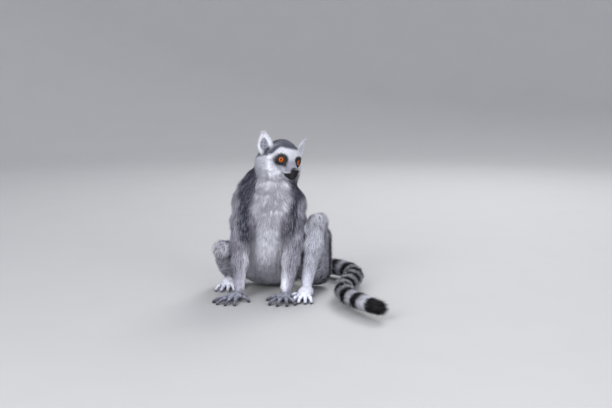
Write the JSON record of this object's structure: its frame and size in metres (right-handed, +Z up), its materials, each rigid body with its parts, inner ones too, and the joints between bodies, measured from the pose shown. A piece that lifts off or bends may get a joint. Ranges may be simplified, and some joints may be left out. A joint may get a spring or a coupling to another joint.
{
  "type": "ring-tailed lemur, sitting",
  "caption": "Life-size sitting ring-tailed lemur, head turned to its left, hands on the ground and banded tail laid forward round its left side.",
  "frame": {"origin": "middle of the flat of the seat, on the ground", "axes": "+Z up, the animal faces -Y, +X to its own left"},
  "size_m": [0.3542, 0.4649, 0.3446],
  "materials": {
    "coat": "soft fur, grey above, white below, banded black and white on the tail",
    "skin": "moist black skin of the nose",
    "eye": "clear wet eye with an orange iris"
  },
  "bodies": {
    "root": {"eye_right": "eye", "eye_left": "eye", "nose": "skin", "head": "coat", "ear_right": "coat", "ear_left": "coat", "neck": "coat", "chest": "coat", "abdomen": "coat", "upper_arm_right": "coat", "upper_arm_left": "coat", "forearm_right": "coat", "forearm_left": "coat", "hand_right": "coat", "hand_left": "coat", "thigh_right": "coat", "thigh_left": "coat", "shin_right": "coat", "shin_left": "coat", "foot_right": "coat", "foot_left": "coat", "tail_1": "coat", "tail_2": "coat", "tail_3": "coat", "tail_4": "coat", "tail_5": "coat", "tail_6": "coat"}
  },
  "joints": []
}
